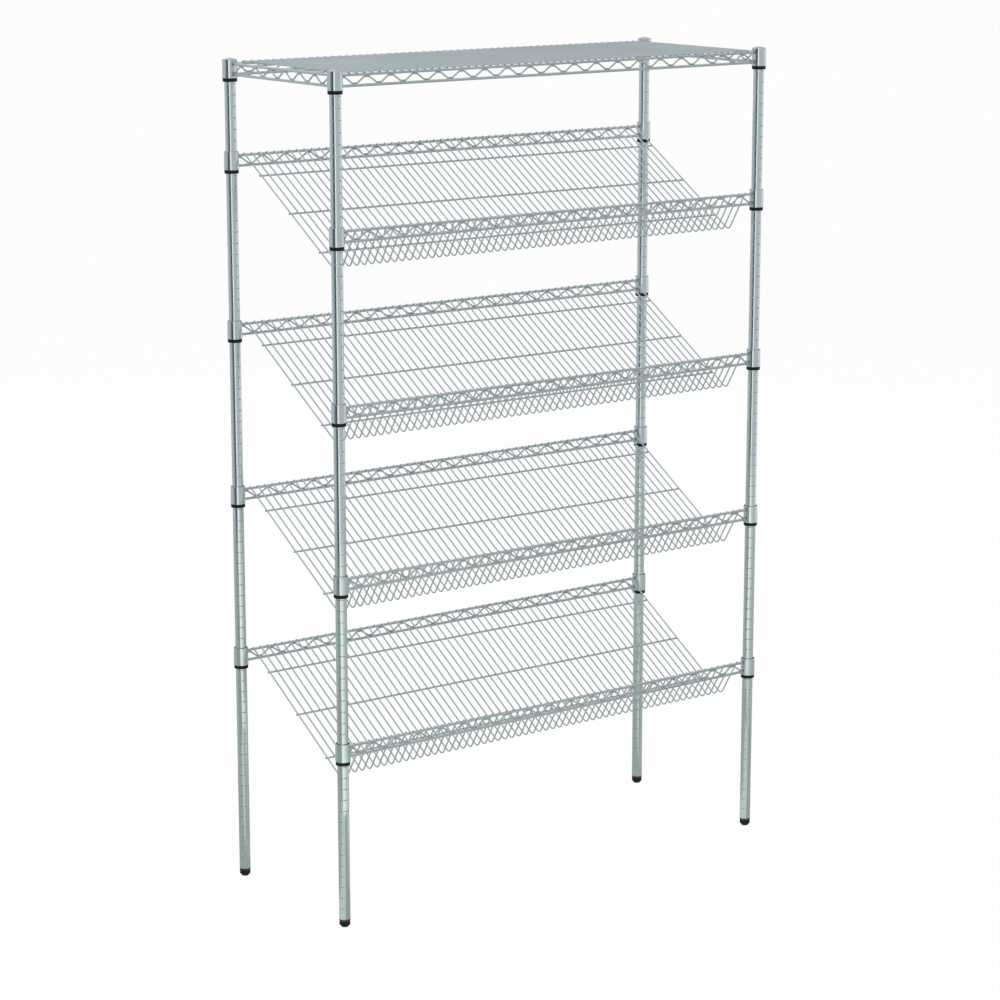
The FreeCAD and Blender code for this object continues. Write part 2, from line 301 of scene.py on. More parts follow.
# Painted shade: the weld spots' dark colour stands in for the contact shadows at the joints.
finish("weld_painted_shade", (0.34, 0.36, 0.37), (0.20, 0.22, 0.23), (0.12, 0.13, 0.13),
       0.22, 0.40, 1 * MM, EVEN, 0.05 * MM)
finish("cap_metal", (0.70, 0.73, 0.74), (0.60, 0.64, 0.66), (0.30, 0.32, 0.33),
       0.12, 0.28, 2 * MM, EVEN, 0.03 * MM)
finish("dull_zinc", (0.13, 0.14, 0.14), (0.08, 0.09, 0.09), (0.04, 0.04, 0.04),
       0.32, 0.50, 1 * MM, EVEN, 0.03 * MM)
finish("black_plastic", (0.010, 0.011, 0.012), (0.005, 0.006, 0.006), (0.03, 0.03, 0.03),
       0.38, 0.58, 0.6 * MM, EVEN, 0.05 * MM, metallic=0.0, specular=0.22)
finish("black_pad", (0.014, 0.015, 0.015), (0.008, 0.009, 0.009), (0.04, 0.04, 0.038),
       0.48, 0.68, 0.8 * MM, EVEN, 0.08 * MM, metallic=0.0, specular=0.25)
print("finishes", list(finishes))

# %% [markdown]
# ## Geometry Nodes: one tree, many wires
#
# A welded shelf is the same wire laid down again and again: dozens of deck wires side by side, two
# rails one above the other, three stringers across. So one tree takes a bare path, rounds its
# corners, sweeps a circle along it, and repeats the wire by a fixed step. The number of wires, the
# step, the thickness and the bend radius are the tree's inputs. The same tree then makes every rail,
# stringer and deck wire of the rack, and a change of pitch is one number.

# %% Helpers for geometry trees
WIRE_CREASE = 40.0


def new_geometry_tree(name, inputs):
    """A tree that also takes a finish, and puts out geometry."""
    return new_group(name, "GeometryNodeTree", inputs + [("Finish", "Material", None)],
                     ("Geometry", "Geometry"))


def group_input_names(tree):
    return {item.name: item.identifier for item in tree.interface.items_tree
            if item.item_type == "SOCKET" and item.in_out == "INPUT"}


def rounded(tree, curve, segments, radius):
    """The curve with an arc of so many segments at each corner."""
    return add_node(tree, "GeometryNodeFilletCurve", {"Curve": curve, "Count": segments, "Radius": radius},
                    mode="POLY").outputs["Curve"]


def sweep(tree, path, radius, sides, scale=1.0, crease_degrees=WIRE_CREASE):
    """A closed tube along the path, smooth apart from rims where faces meet at a larger angle."""
    circle = add_node(tree, "GeometryNodeCurvePrimitiveCircle", {"Resolution": sides, "Radius": radius})
    tube = add_node(tree, "GeometryNodeCurveToMesh", {
        "Curve": path, "Profile Curve": circle.outputs["Curve"], "Scale": scale, "Fill Caps": True})
    smooth = add_node(tree, "GeometryNodeSetShadeSmooth",
                      {"Geometry": tube.outputs["Mesh"], "Shade Smooth": True})
    angle = tree.nodes.new("GeometryNodeInputMeshEdgeAngle").outputs["Unsigned Angle"]
    rim = add_node(tree, "FunctionNodeCompare", {0: angle, 1: math.radians(crease_degrees)},
                   operation="GREATER_THAN")
    crisp = add_node(tree, "GeometryNodeSetShadeSmooth",
                     {"Geometry": smooth.outputs[0], "Selection": rim.outputs[0], "Shade Smooth": False},
                     domain="EDGE")
    return crisp.outputs[0]


def close_tree(tree, given, result, points, shape, **turn_and_size):
    """Every tree ends this way: a copy of the shape on each point becomes real and gets its finish."""
    copies = add_node(tree, "GeometryNodeInstanceOnPoints",
                      {"Points": points, "Instance": shape, **turn_and_size})
    real = add_node(tree, "GeometryNodeRealizeInstances", {"Geometry": copies.outputs["Instances"]})
    painted = add_node(tree, "GeometryNodeSetMaterial",
                       {"Geometry": real.outputs["Geometry"], "Material": given["Finish"]})
    tree.links.new(painted.outputs["Geometry"], result["Geometry"])
    return tree


# %% The tree for rows of wire
def wire_row_tree():
    tree, given, result = new_geometry_tree("wire_row", [
        ("Path", "Geometry", None), ("Count", "Int", 2), ("Step", "Vector", (0.02, 0.0, 0.0)),
        ("Wire radius", "Float", 0.002), ("Bend radius", "Float", 0.0), ("Bend segments", "Int", 4),
        ("Sides", "Int", 8)])
    bare = add_node(tree, "GeometryNodeMeshToCurve", {"Mesh": given["Path"]})
    bent = rounded(tree, bare.outputs["Curve"], given["Bend segments"], given["Bend radius"])
    wire = sweep(tree, bent, given["Wire radius"], given["Sides"])
    places = add_node(tree, "GeometryNodeMeshLine", {"Count": given["Count"], "Offset": given["Step"]})
    return close_tree(tree, given, result, places.outputs["Mesh"], wire)


wire_row = wire_row_tree()
print("tree", wire_row.name, "takes", list(group_input_names(wire_row)))

# %% Run a tree and keep the result as a plain mesh
def face_outwards(mesh):
    """Turn all the faces over when the volume that they enclose comes out negative."""
    mesh.calc_loop_triangles()
    volume = 0.0
    for triangle in mesh.loop_triangles:
        a, b, c = (mesh.vertices[index].co for index in triangle.vertices)
        volume += a.dot(b.cross(c)) / 6
    if volume < 0:
        mesh.flip_normals()


def run_tree(name, tree, base_mesh, **inputs):
    """A piece at the origin, made by the tree from a base mesh; no modifier is left on it."""
    draft = add_object(name + "_draft", base_mesh)
    modifier = draft.modifiers.new("tree", "NODES")
    modifier.node_group = tree
    identifiers = group_input_names(tree)
    for label, value in inputs.items():
        modifier[identifiers[label.replace("_", " ")]] = value
    evaluated = draft.evaluated_get(bpy.context.evaluated_depsgraph_get())
    mesh = bpy.data.meshes.new_from_object(evaluated)
    bpy.data.objects.remove(draft)
    face_outwards(mesh)
    mesh.name = name
    return add_object(name, mesh)


def fit_piece(piece, body, node):
    """The piece moves with its body and stands for its solid, which is hidden."""
    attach(piece, body)
    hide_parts(node)


def add_wires(name, shelf, node, path, count, step, radius, sides, look="chromed_wire", **bend):
    """A row of equal wires on a shelf. The path is the list of corners of the first of them."""
    edges = [(index, index + 1) for index in range(len(path) - 1)]
    row = run_tree(name, wire_row, plain_mesh("path", path, edges), Count=count, Step=step,
                   Wire_radius=radius, Sides=sides, Finish=finishes[look], **bend)
    fit_piece(row, shelf, node)


# %% [markdown]
# ## Rails, stringers and deck wires
#
# Each truss has two straight rails, one above the other, that end in the collars. The stringers run
# the other way under the deck wires and hold them in line. The deck wires lie on top of both, close
# enough that a loaf can't sag between them. On a slanted shelf a deck wire runs down the slope, turns
# a tight corner and comes back up to the front truss, where it is welded to the rear of the upper
# rail. The corners of all the wires together are the trough that stops the loaves.
#
# On a production line all of these are cut from coils of drawn wire, laid in a jig and welded in one
# press stroke. Here each row is a path and a count.

# %% Rails
RAIL_SIDES = 20
STRINGER_SIDES = 16
DECK_SIDES = 12


def add_rails(name, shelf, side, along, from_right=False):
    """The lower and the upper rail of one truss. The left and the right truss share one node."""
    node = shelf + "_" + side + "_rails"
    low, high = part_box(node)
    start = low + (Vector((1, 1, 1)) - along) * rail_radius
    if from_right:
        start.x = high.x - rail_radius
    end = start + along * (high - low).dot(along)
    rise = UP * (high.z - low.z - 2 * rail_radius)
    add_wires(name, shelf, node, (start, end), 2, rise, rail_radius, RAIL_SIDES)


for shelf in SHELVES:
    for side in ("front", "rear"):
        add_rails(side + "_rails_" + shelf, shelf, side, ALONG_X)
add_rails("left_side_rails_top_shelf", "top_shelf", "side", ALONG_Y)
add_rails("right_side_rails_top_shelf", "top_shelf", "side", ALONG_Y, from_right=True)
print("rails for", len(SHELVES), "shelves")

# %% Stringers
def outer_stringers(shelf, x):
    """Where the axes of the rearmost and of the foremost stringer pass through the plane X = x."""
    low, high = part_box(shelf + "_stringers")
    rearmost = Vector((x, high.y - stringer_radius, high.z - stringer_radius))
    return rearmost, Vector((x, low.y + stringer_radius, low.z + stringer_radius))


for shelf in SHELVES:
    node = shelf + "_stringers"
    rearmost, foremost = outer_stringers(shelf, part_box(node)[0].x)
    path = (rearmost, rearmost + ALONG_X * size(node).x)
    step = (foremost - rearmost) / (STRINGERS - 1)
    add_wires("stringers_" + shelf, shelf, node, path, STRINGERS, step, stringer_radius, STRINGER_SIDES)
print("stringers", STRINGERS, "to a shelf")

# %% Deck wires
DOWN = Vector((0, -math.cos(DECK_SLOPE), -math.sin(DECK_SLOPE)))
OUT = Vector((0, -math.sin(DECK_SLOPE), math.cos(DECK_SLOPE)))
LIP_SEGMENTS = 7
deck_on_rail = rail_radius + deck_radius - WELD_BITE


def upper_rail_axis(shelf, side):
    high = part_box(shelf + "_" + side + "_rails")[1]
    y = -half_depth if side == "front" else half_depth
    return Vector((0, y, high.z - rail_radius))


def deck_path(shelf):
    """Corners of one deck wire in the plane X = 0, from its rear end to its front end."""
    rear = upper_rail_axis(shelf, "rear")
    front = upper_rail_axis(shelf, "front")
    if shelf == "top_shelf":
        reach = ALONG_Y * TOP_OVERHANG
        lift = UP * deck_on_rail
        return [rear + reach + lift, front - reach + lift]
    rear_end = rear + OUT * deck_on_rail - DOWN * SLANT_OVERHANG
    lip_end = front - DOWN * deck_on_rail + OUT * SLANT_OVERHANG
    corner = rear_end + DOWN * (lip_end - rear_end).dot(DOWN)
    return [rear_end, corner, lip_end]


def deck_row(shelf):
    """Where the first deck wire lies along X, how many there are and how far apart."""
    low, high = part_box(shelf + "_deck_wires")
    count = TOP_WIRES if shelf == "top_shelf" else SLANT_WIRES
    first = low.x + deck_radius
    return first, count, (high.x - low.x - 2 * deck_radius) / (count - 1)


for shelf in SHELVES:
    first, count, pitch = deck_row(shelf)
    path = [corner + ALONG_X * first for corner in deck_path(shelf)]
    add_wires("deck_wires_" + shelf, shelf, shelf + "_deck_wires", path, count, ALONG_X * pitch,
              deck_radius, DECK_SIDES, "chromed_deck_wire", Bend_radius=LIP_BEND,
              Bend_segments=LIP_SEGMENTS)
    print(shelf, count, "deck wires", round(pitch / MM, 2), "mm apart")

# %% [markdown]
# ## Truss zigzags
#
# Between the two rails of a truss runs one long wire, bent up and down. It lies along a rail for a
# few millimetres at every crest, because that is where it is welded. A rule on the point number
# gives the bare path: two points to a crest, crests alternately high and low. The fillet then makes
# the small bends that the bending tool leaves.

# %% The tree for zigzags
ZIGZAG_SIDES = 12
ZIGZAG_SEGMENTS = 3


def placed_line(tree, line, **coordinates):
    """A curve through the points of a mesh line, once they have been moved to these coordinates."""
    position = add_node(tree, "ShaderNodeCombineXYZ", coordinates).outputs[0]
    placed = add_node(tree, "GeometryNodeSetPosition", {"Geometry": line, "Position": position})
    return add_node(tree, "GeometryNodeMeshToCurve", {"Mesh": placed.outputs["Geometry"]}).outputs["Curve"]


def zigzag_tree():
    tree, given, result = new_geometry_tree("truss_zigzag", [
        ("Places", "Geometry", None), ("Half pitches", "Int", 37), ("Span", "Float", 1.146),
        ("Crest height", "Float", 0.0066), ("Crest length", "Float", 0.012),
        ("Bend radius", "Float", 0.005), ("Wire radius", "Float", 0.002), ("Turn", "Float", 0.0),
        ("Sides", "Int", 10)])
    calc, plus, minus, times, over = sums_for(tree)
    crests = plus(given["Half pitches"], 1.0)
    row = add_node(tree, "GeometryNodeMeshLine", {"Count": times(crests, 2.0)})
    number = tree.nodes.new("GeometryNodeInputIndex").outputs[0]
    crest = calc("FLOOR", over(number, 2.0))
    second_of_two = calc("MODULO", number, 2.0)
    half_pitch = over(given["Span"], given["Half pitches"])
    crest_middle = minus(times(crest, half_pitch), times(given["Span"], 0.5))
    side_step = times(minus(second_of_two, 0.5), given["Crest length"])
    bounded = add_node(tree, "ShaderNodeClamp", {
        "Value": plus(crest_middle, side_step),
        "Min": times(given["Span"], -0.5), "Max": times(given["Span"], 0.5)})
    low_crest = calc("MODULO", crest, 2.0)
    up_or_down = minus(1.0, times(low_crest, 2.0))
    height = times(up_or_down, given["Crest height"])
    bare = placed_line(tree, row.outputs["Mesh"], X=bounded.outputs[0], Z=height)
    bent = rounded(tree, bare, ZIGZAG_SEGMENTS, given["Bend radius"])
    wire = sweep(tree, bent, given["Wire radius"], given["Sides"])
    turn = add_node(tree, "ShaderNodeCombineXYZ", {"Z": given["Turn"]}).outputs[0]
    return close_tree(tree, given, result, given["Places"], wire, Rotation=turn)


truss_zigzag = zigzag_tree()
print("tree", truss_zigzag.name, "takes", list(group_input_names(truss_zigzag)))

# %% Place the zigzags
ZIGZAG_END_GAP = 2 * MM
Truss = namedtuple("Truss", "along turn bends span")

collar_outer = min(size("top_shelf_collars").x / 2 - half_width,
                   size("top_shelf_collars").y / 2 - half_depth)
rail_gap = size("top_shelf_front_rails").z - 4 * rail_radius
crest_height = rail_gap / 2 - zigzag_radius + WELD_BITE


def truss_between_posts(along, turn, bends, post_spacing):
    return Truss(along, turn, bends, post_spacing - 2 * collar_outer - 2 * ZIGZAG_END_GAP)


LONG_TRUSS = truss_between_posts(ALONG_X, 0.0, LONG_ZIGZAG_BENDS, 2 * half_width)
SIDE_TRUSS = truss_between_posts(ALONG_Y, math.pi / 2, SIDE_ZIGZAG_BENDS, 2 * half_depth)


def trusses_of(shelf):
    """Each truss of a shelf: its kind, the node of its rails, and its centre."""
    places = [(LONG_TRUSS, "_front_rails", 0, -half_depth), (LONG_TRUSS, "_rear_rails", 0, half_depth)]
    if shelf == "top_shelf":
        places += [(SIDE_TRUSS, "_side_rails", x, 0) for x in (-half_width, half_width)]
    return [(truss, shelf + rails, Vector((x, y, middle(shelf + rails).z)))
            for truss, rails, x, y in places]


def add_zigzags(name, shelf, truss):
    centres = [centre for kind, node, centre in trusses_of(shelf) if kind is truss]
    zigzags = run_tree(
        name, truss_zigzag, plain_mesh("places", centres), Half_pitches=truss.bends, Span=truss.span,
        Crest_height=crest_height, Crest_length=ZIGZAG_FLAT, Bend_radius=ZIGZAG_BEND,
        Wire_radius=zigzag_radius, Turn=truss.turn, Sides=ZIGZAG_SIDES,
        Finish=finishes["chromed_wire"])
    fit_piece(zigzags, shelf, shelf + "_truss_wires")


for shelf in SHELVES:
    add_zigzags("long_zigzags_" + shelf, shelf, LONG_TRUSS)
add_zigzags("side_zigzags_top_shelf", "top_shelf", SIDE_TRUSS)
print("zigzags placed; crests", round(2 * crest_height / MM, 2), "mm apart in height")

# %% [markdown]
# ## Weld spots
#
# Where two wires cross they are pressed together with a current through them, and a little metal
# squeezes out round the joint. The spots are darker than the wire: painted shade for the contact
# shadow round each joint.
# They are tiny, but without them the wires look as if they merely lie on each other. Every spot is
# the same small ball, flattened along the line through the two wires. The points carry their own
# size and turn, and the tree reads both by name.

# %% The tree for weld spots
def attribute(tree, name, kind):
    """What the points of the mesh carry under this name."""
    return add_node(tree, "GeometryNodeInputNamedAttribute", {"Name": name},
                    data_type=kind).outputs["Attribute"]


def weld_tree():
    tree, given, result = new_geometry_tree("weld_spots", [("Places", "Geometry", None)])
    ball = add_node(tree, "GeometryNodeMeshIcoSphere", {"Radius": 1.0, "Subdivisions": 2})
    round_ball = add_node(tree, "GeometryNodeSetShadeSmooth",
                          {"Geometry": ball.outputs["Mesh"], "Shade Smooth": True})
    return close_tree(tree, given, result, given["Places"], round_ball.outputs["Geometry"],
                      Rotation=attribute(tree, "spot_turn", "FLOAT_VECTOR"),
                      Scale=attribute(tree, "spot_size", "FLOAT_VECTOR"))


weld_spots = weld_tree()
print("tree", weld_spots.name)

# %% Where the welds are
CROSSING_SPOT = Vector((2.5, 2.3, 0.9)) * MM
CREST_SPOT = Vector((6.5, 1.7, 0.9)) * MM
RAIL_END_SPOT = Vector((1.3, 4.1, 4.1)) * MM
RAIL_END_INSET = 1.1 * MM


def spots_mesh(spots):
    """Points for the tree; each spot is (place, size, turn)."""
    places, sizes, turns = zip(*spots)
    mesh = plain_mesh("spots", places)
    for name, vectors in (("spot_size", sizes), ("spot_turn", turns)):
        kept = mesh.attributes.new(name, "FLOAT_VECTOR", "POINT")
        kept.data.foreach_set("vector", [value for vector in vectors for value in vector])
    return mesh


def crossing_spots(shelf):
    """Under every deck wire, on the upper rails and on the stringers."""
    on_rail = rail_radius - WELD_BITE / 2
    normal, tilt, lip_side, lip_tilt = UP, 0.0, UP, 0.0
    if shelf != "top_shelf":
        normal, tilt, lip_side, lip_tilt = OUT, DECK_SLOPE, -DOWN, DECK_SLOPE + math.pi / 2
    under_wire = [(upper_rail_axis(shelf, "rear") + normal * on_rail, tilt)]
    rearmost, foremost = outer_stringers(shelf, 0)
    for number in range(STRINGERS):
        stringer = rearmost.lerp(foremost, number / (STRINGERS - 1))
        under_wire.append((stringer + normal * (stringer_radius - WELD_BITE / 2), tilt))
    under_wire.append((upper_rail_axis(shelf, "front") + lip_side * on_rail, lip_tilt))
    first, count, pitch = deck_row(shelf)
    return [(place + ALONG_X * (first + index * pitch), CROSSING_SPOT, ALONG_X * turn)
            for index in range(count) for place, turn in under_wire]


def crest_spots(truss, centre):
    """Along the rails, at every crest of a zigzag."""
    reach = rail_gap / 2 + WELD_BITE / 2
    furthest = truss.span / 2 - ZIGZAG_FLAT / 4
    spots = []
    for bend in range(truss.bends + 1):
        height = reach if bend % 2 == 0 else -reach
        crest = bend * truss.span / truss.bends - truss.span / 2
        crest = max(min(crest, furthest), -furthest)
        spots.append((centre + truss.along * crest + UP * height, CREST_SPOT, UP * truss.turn))
    return spots


def rail_end_spots(truss, node, centre):
    """Where the rails of a truss meet the collars."""
    low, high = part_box(node)
    spots = []
    for height in (low.z + rail_radius, high.z - rail_radius):
        for end, inward in ((low, truss.along), (high, -truss.along)):
            place = Vector((centre.x, centre.y, height)) + truss.along * end.dot(truss.along)
            spots.append((place + inward * RAIL_END_INSET, RAIL_END_SPOT, UP * truss.turn))
    return spots


for shelf in SHELVES:
    spots = crossing_spots(shelf)
    for truss, node, centre in trusses_of(shelf):
        spots += crest_spots(truss, centre)
        spots += rail_end_spots(truss, node, centre)
    # The weld spots take the dark finish of painted shade.
    welds = run_tree("welds_" + shelf, weld_spots, spots_mesh(spots), Finish=finishes["weld_painted_shade"])
    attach(welds, shelf)
    print(shelf, len(spots), "weld spots")

# %% [markdown]
# ## Posts
#
# A post is a steel tube with a shallow groove rolled into it every inch, so that a shelf can be set
# at any height. The rolling leaves no sharp edges: the wall dips and comes back in a smooth wave.
# The tree lays down nine points for each groove. The radius follows a cosine over the middle seven,
# and the outer two stay on the straight wall. They hold the shading flat there: without them the
# whole inch between two grooves would shade like a barrel.

# %% The tree for grooved posts
GROOVE_PITCH = 25.4 * MM
GROOVE_DEPTH = 0.35 * MM
GROOVE_MOUTH = 2.4 * MM
GROOVE_POINTS = 9
GUARD_REACH = 4 / 3
POST_SIDES = 40
POST_CREASE = 60.0


def store(tree, geometry, name, value):
    """The geometry with a number on every point, kept under this name."""
    return add_node(tree, "GeometryNodeStoreNamedAttribute",
                    {"Geometry": geometry, "Name": name, "Value": value},
                    data_type="FLOAT", domain="POINT").outputs["Geometry"]


def post_tree():
    tree, given, result = new_geometry_tree("grooved_post", [
        ("Place", "Geometry", None), ("Grooves", "Int", 73), ("Pitch", "Float", 0.0254),
        ("Length", "Float", 1.88), ("Radius", "Float", 0.0127), ("Depth", "Float", 0.0005),
        ("Mouth", "Float", 0.002), ("Sides", "Int", 40)])
    calc, plus, minus, times, over = sums_for(tree)
    groove_points = times(given["Grooves"], GROOVE_POINTS)
    row = add_node(tree, "GeometryNodeMeshLine", {"Count": plus(groove_points, 2.0)})
    number = tree.nodes.new("GeometryNodeInputIndex").outputs[0]
    order = minus(number, 1.0)
    groove = plus(calc("FLOOR", over(order, GROOVE_POINTS)), 1.0)
    step = minus(calc("FLOORED_MODULO", order, GROOVE_POINTS), (GROOVE_POINTS - 1) / 2)
    share = times(step, GUARD_REACH * 2 / (GROOVE_POINTS - 1))
    half_mouth = times(given["Mouth"], 0.5)
    rolled_height = plus(times(groove, given["Pitch"]), times(share, half_mouth))
    at_top = calc("GREATER_THAN", order, minus(groove_points, 0.5))
    above_bottom = calc("GREATER_THAN", number, 0.5)
    up_to_top = add_node(tree, "ShaderNodeMix", {0: at_top, 2: rolled_height, 3: given["Length"]})
    height = times(above_bottom, up_to_top.outputs[0])
    inside_mouth = calc("MINIMUM", calc("ABSOLUTE", share), 1.0)
    wave = calc("COSINE", times(inside_mouth, math.pi))
    dip = times(plus(wave, 1.0), 0.5)
    in_groove = times(above_bottom, minus(1.0, at_top))
    rolled = times(dip, in_groove)
    depth_share = over(given["Depth"], given["Radius"])
    width = minus(1.0, times(rolled, depth_share))
    # The groove mask also darkens the tube's colour in the grooves, as painted shade.
    marked = store(tree, row.outputs["Mesh"], "rolled", rolled)
    axis = placed_line(tree, store(tree, marked, "width", width), Z=height)
    widths = attribute(tree, "width", "FLOAT")
    tube = sweep(tree, axis, given["Radius"], given["Sides"], widths, POST_CREASE)
    return close_tree(tree, given, result, given["Place"], tube)


grooved_post = post_tree()
post_length = post_top - post_bottom
groove_count = round(post_length / GROOVE_PITCH) - 1
for corner in CORNERS:
    foot = plain_mesh("foot", [post_axis[corner] + UP * post_bottom])
    post = run_tree(
        "grooved_post_" + corner, grooved_post, foot, Grooves=groove_count, Pitch=GROOVE_PITCH,
        Length=post_length, Radius=post_radius, Depth=GROOVE_DEPTH, Mouth=GROOVE_MOUTH,
        Sides=POST_SIDES, Finish=finishes["chromed_tube"])
    fit_piece(post, "posts", "post_" + corner)
print("posts with", groove_count, "grooves")

# %% [markdown]
# ## Turned pieces
#
# Collars, sleeves, caps, pads and the screws in the feet are all round about the post's axis. Each is
# an outline turned about that axis, the way a lathe or a round mould would form it. No real edge is
# perfectly sharp, and it is the small rounding that catches the light, so every corner of an outline
# can be given its own radius.

# %% Turn an outline about the vertical axis
EASING_STEPS = 3
ON_AXIS = 1e-7


def eased(outline):
    """The outline with its corners rounded. Each corner is (radius from the axis, height, rounding)."""
    points = []
    for index, (r, z, rounding) in enumerate(outline):
        corner = Vector((r, z))
        if rounding <= 0:
            points.append(corner)
            continue
        before = Vector(outline[index - 1][:2])
        after = Vector(outline[(index + 1) % len(outline)][:2])
        arriving = (corner - before).normalized()
        leaving = (after - corner).normalized()
        half_turn = arriving.angle(leaving) / 2
        setback = rounding * math.tan(half_turn)
        inward = (leaving - arriving).normalized()
        centre = corner + inward * (rounding / math.cos(half_turn))
        first = corner - arriving * setback - centre
        last = corner + leaving * setback - centre
        for step in range(EASING_STEPS + 1):
            points.append(centre + first.slerp(last, step / EASING_STEPS).normalized() * rounding)
    return points


def turned(outline, sides, start_degrees=0.0, degrees=360.0):
    """Vertices and faces of the turned outline; a part turn is closed with the outline at both ends."""
    whole = degrees >= 360.0
    columns = sides if whole else sides + 1
    vertices = []
    faces = []
    rings = []
    for point in eased(outline):
        if point.x < ON_AXIS:
            rings.append([len(vertices)] * columns)
            vertices.append((0.0, 0.0, point.y))
            continue
        rings.append(list(range(len(vertices), len(vertices) + columns)))
        for column in range(columns):
            angle = math.radians(start_degrees + degrees * column / sides)
            vertices.append((point.x * math.cos(angle), point.x * math.sin(angle), point.y))
    for index, ring in enumerate(rings):
        after = rings[(index + 1) % len(rings)]
        for column in range(sides):
            right = (column + 1) % columns
            loop = list(dict.fromkeys((ring[column], ring[right], after[right], after[column])))
            if len(loop) > 2:
                faces.append(loop)
    if not whole:
        faces.append([ring[0] for ring in rings][::-1])
        faces.append([ring[-1] for ring in rings])
    return vertices, faces


def add_round_piece(name, body, node, slot, parts, places, crease_degrees=35.0):
    """The parts repeated at each place, as one piece, which takes the finish of this name."""
    vertices = []
    faces = []
    for place in places:
        for part_vertices, part_faces in parts:
            base = len(vertices)
            vertices += [Vector(vertex) + place for vertex in part_vertices]
            faces += [[base + index for index in face] for face in part_faces]
    mesh = plain_mesh(name, vertices, faces=faces)
    mesh.materials.append(finishes[slot])
    mesh.shade_smooth()
    mesh.set_sharp_from_angle(angle=math.radians(crease_degrees))
    face_outwards(mesh)
    fit_piece(add_object(name, mesh), body, node)


def places_on_posts(node, height):
    """Collars and sleeves sit lower at the front of a slanted shelf and higher at its rear."""
    low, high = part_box(node)
    bottom = {"front": low.z, "rear": high.z - height}
    return [post_axis[corner] + UP * bottom[corner.split("_")[0]] for corner in CORNERS]


# %% Collars
COLLAR_SIDES = 64
COLLAR_WALL = 1.5 * MM
COLLAR_TAPER = 0.0108
COLLAR_RIM = 0.5 * MM
collar_height = size("top_shelf_collars").z


def collar_outline():
    """A steel ring, slightly narrower at the top, with both rims rounded. Points on the wall near the
    rims hold its shading flat, as the outer two of each groove do on the posts."""
    narrowing = COLLAR_TAPER * collar_height
    bore = collar_outer - COLLAR_WALL
    outline = [(bore, 0, COLLAR_RIM), (collar_outer, 0, COLLAR_RIM)]
    for z in (2 * COLLAR_RIM, collar_height - 2 * COLLAR_RIM):
        outline.append((collar_outer - COLLAR_TAPER * z, z, 0))
    outline += [(collar_outer - narrowing, collar_height, COLLAR_RIM),
                (bore - narrowing, collar_height, COLLAR_RIM)]
    return outline


collar = turned(collar_outline(), COLLAR_SIDES)
for shelf in SHELVES:
    node = shelf + "_collars"
    places = places_on_posts(node, collar_height)
    add_round_piece("collars_" + shelf, shelf, node, "chromed_collar", [collar], places)
print("collars", round(collar_height / MM, 1), "mm tall,", round(2 * collar_outer / MM, 1), "mm across")

# %% Split sleeves
SLEEVE_FIT = 0.05 * MM
SLEEVE_CONE_WALL = 2.45 * MM
SLEEVE_TAPER = 0.4 * MM
SLEEVE_RING = 8 * MM
SLEEVE_SPLIT = 0.3 * MM
SLEEVE_SIDES = 36
sleeve_height = size("top_shelf_split_sleeves").z
sleeve_ring_outer = (size("top_shelf_split_sleeves").x - 2 * half_width) / 2


def sleeve_halves():
    """Two plastic half shells with a proud ring at their foot; the collar wedges down over the cone."""
    bore = post_radius + SLEEVE_FIT
    cone = bore + SLEEVE_CONE_WALL
    gap_degrees = math.degrees(math.asin(SLEEVE_SPLIT / 2 / bore))
    outline = [
        (bore, 0, 0), (sleeve_ring_outer, 0, 0.5 * MM), (sleeve_ring_outer, SLEEVE_RING, 0.5 * MM),
        (cone, SLEEVE_RING, 0), (cone - SLEEVE_TAPER, sleeve_height, 0.4 * MM), (bore, sleeve_height, 0),
    ]
    turn = 180.0 - 2 * gap_degrees
    return [turned(outline, SLEEVE_SIDES, start + gap_degrees, turn) for start in (0.0, 180.0)]


for shelf in SHELVES:
    node = shelf + "_split_sleeves"
    places = places_on_posts(node, sleeve_height)
    add_round_piece("sleeves_" + shelf, "posts", node, "black_plastic", sleeve_halves(), places)
print("sleeve rings", round(2 * sleeve_ring_outer / MM, 1), "mm across")

# %% Post caps
CAP_PLUG = 15 * MM
CAP_EDGE = 1.5 * MM
POST_WALL = 1.2 * MM
PUSH_FIT = 0.1 * MM
DOME_STEPS = 6
ROUND_SIDES = 48
cap_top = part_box("post_cap_front_left")[1].z
plug_radius = post_radius - POST_WALL - PUSH_FIT


def cap_outline():
    """A plug for the tube's bore, a thin straight edge and a shallow dome over it."""
    rise = cap_top - post_top - CAP_EDGE
    dome = (post_radius ** 2 + rise ** 2) / (2 * rise)
    reach = math.asin(post_radius / dome)
    plug_bottom = post_top - CAP_PLUG
    outline = [(0, plug_bottom, 0), (plug_radius, plug_bottom, 0.6 * MM), (plug_radius, post_top, 0),
               (post_radius, post_top, 0.25 * MM), (post_radius, post_top + CAP_EDGE, 0.4 * MM)]
    for step in range(1, DOME_STEPS + 1):
        angle = reach * (1 - step / DOME_STEPS)
        outline.append((dome * math.sin(angle), cap_top - dome * (1 - math.cos(angle)), 0))
    return outline


cap = turned(cap_outline(), ROUND_SIDES)
for corner in CORNERS:
    place = [post_axis[corner]]
    add_round_piece("cap_" + corner, "posts", "post_cap_" + corner, "cap_metal", [cap], place)
print("caps rise", round((cap_top - post_top) / MM, 1), "mm above the tubes")

# %% Inserts and pads of the feet
PAD_FOOT_RADIUS = 8.8 * MM
PAD_FOOT_HEIGHT = 4.4 * MM
PAD_SOCKET = 8 * MM
STEM_PLAY = 0.05 * MM
stem_radius = size("foot_stem_front_left").x / 2
pad_radius = size("foot_pad_front_left").x / 2
pad_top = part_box("foot_pad_front_left")[1].z
flange_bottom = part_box("foot_insert_front_left")[0].z
insert_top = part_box("foot_insert_front_left")[1].z
stem_hole = stem_radius + STEM_PLAY


